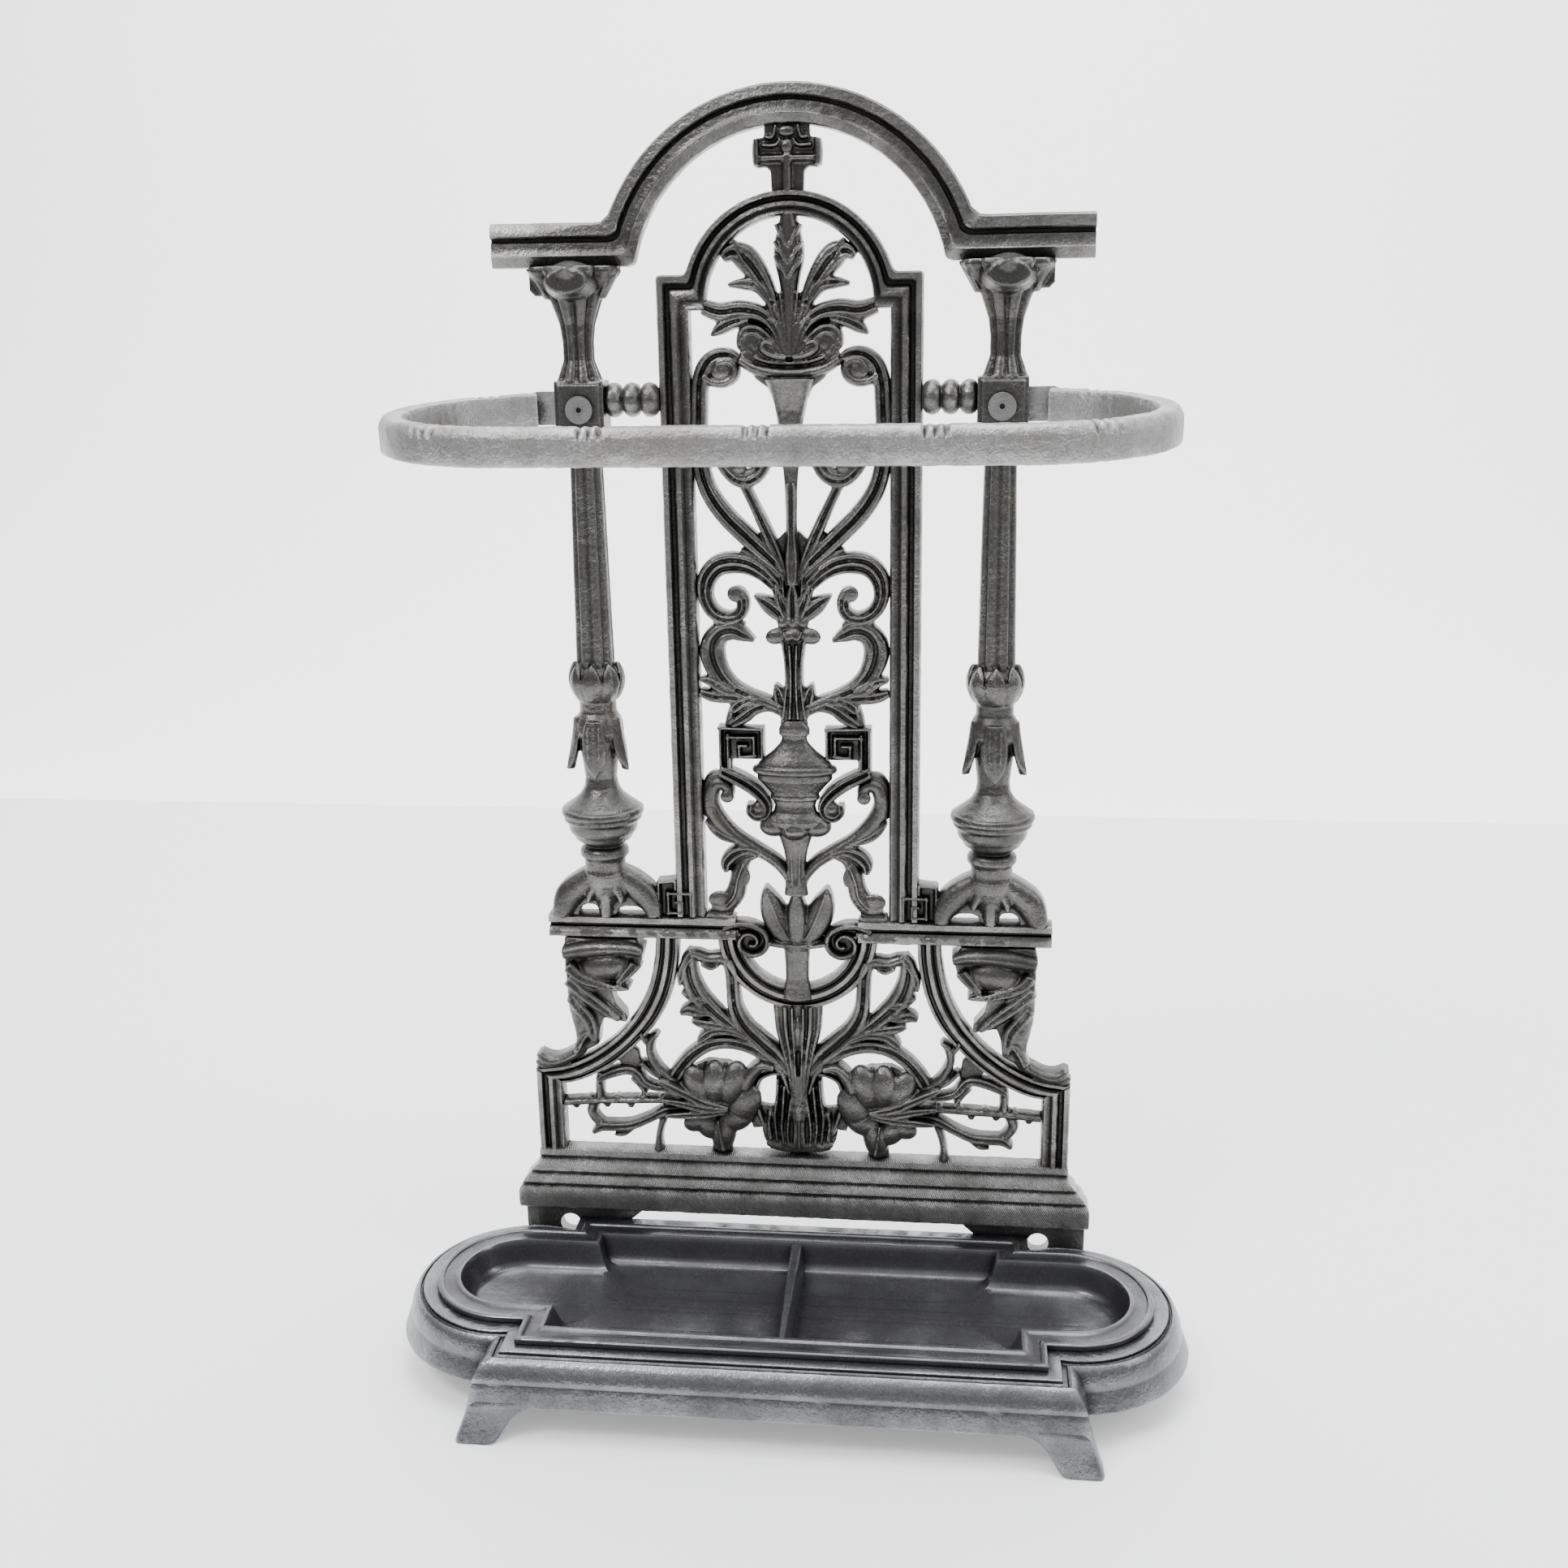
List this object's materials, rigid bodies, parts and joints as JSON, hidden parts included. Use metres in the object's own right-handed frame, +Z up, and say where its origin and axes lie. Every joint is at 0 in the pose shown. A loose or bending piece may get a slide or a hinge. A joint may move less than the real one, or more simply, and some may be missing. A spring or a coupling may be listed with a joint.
{
  "type": "umbrella stand",
  "caption": "Cast-iron stick stand: pierced scrollwork back between turned columns, hoop rail, low base with a loose divided drip tray.",
  "frame": {"origin": "on the floor, under the middle of the stand's bounding box", "axes": "+Z up, +X to the right seen from the front, -Y towards the user"},
  "size_m": [0.492, 0.1942, 0.76],
  "materials": {
    "back_iron": "graphite polish over rough castings",
    "hoop_iron": "worn bright and pitted",
    "base_iron": "graphite polish",
    "tray_iron": "smooth dark graphite polish",
    "fastener_steel": "dull"
  },
  "bodies": {
    "stand": {"base": "base_iron", "base_bolts": "fastener_steel", "base_nuts": "fastener_steel", "base_washers": "fastener_steel", "bouquet": "back_iron", "cross_link": "back_iron", "frame_arch": "back_iron", "hoop": "hoop_iron", "hoop_bolts": "fastener_steel", "hoop_nuts": "fastener_steel", "hoop_washers": "fastener_steel", "left_acanthus": "back_iron", "left_branch": "back_iron", "left_briar": "back_iron", "left_c_scroll": "back_iron", "left_claw_foot": "back_iron", "left_column": "back_iron", "left_console": "back_iron", "left_flower": "back_iron", "left_key_block": "back_iron", "left_key_square": "back_iron", "left_leg": "back_iron", "left_lyre_scroll": "back_iron", "left_post": "back_iron", "left_shelf": "back_iron", "left_spindle": "back_iron", "left_stalk": "back_iron", "left_stile": "back_iron", "left_sweep": "back_iron", "left_volute": "back_iron", "palmette": "back_iron", "pendant": "back_iron", "plinth": "back_iron", "right_acanthus": "back_iron", "right_branch": "back_iron", "right_briar": "back_iron", "right_c_scroll": "back_iron", "right_claw_foot": "back_iron", "right_column": "back_iron", "right_console": "back_iron", "right_flower": "back_iron", "right_key_block": "back_iron", "right_key_square": "back_iron", "right_leg": "back_iron", "right_lyre_scroll": "back_iron", "right_post": "back_iron", "right_shelf": "back_iron", "right_spindle": "back_iron", "right_stalk": "back_iron", "right_stile": "back_iron", "right_sweep": "back_iron", "right_volute": "back_iron", "top_rail": "back_iron", "tulip": "back_iron", "urn": "back_iron", "vase": "back_iron"},
    "tray": {"drip_tray": "tray_iron"}
  },
  "joints": [
    {"name": "tray_lift", "type": "slide", "parent": "stand", "child": "tray", "axis": [0, 0, 1], "range_m": [0, 0.06]}
  ]
}
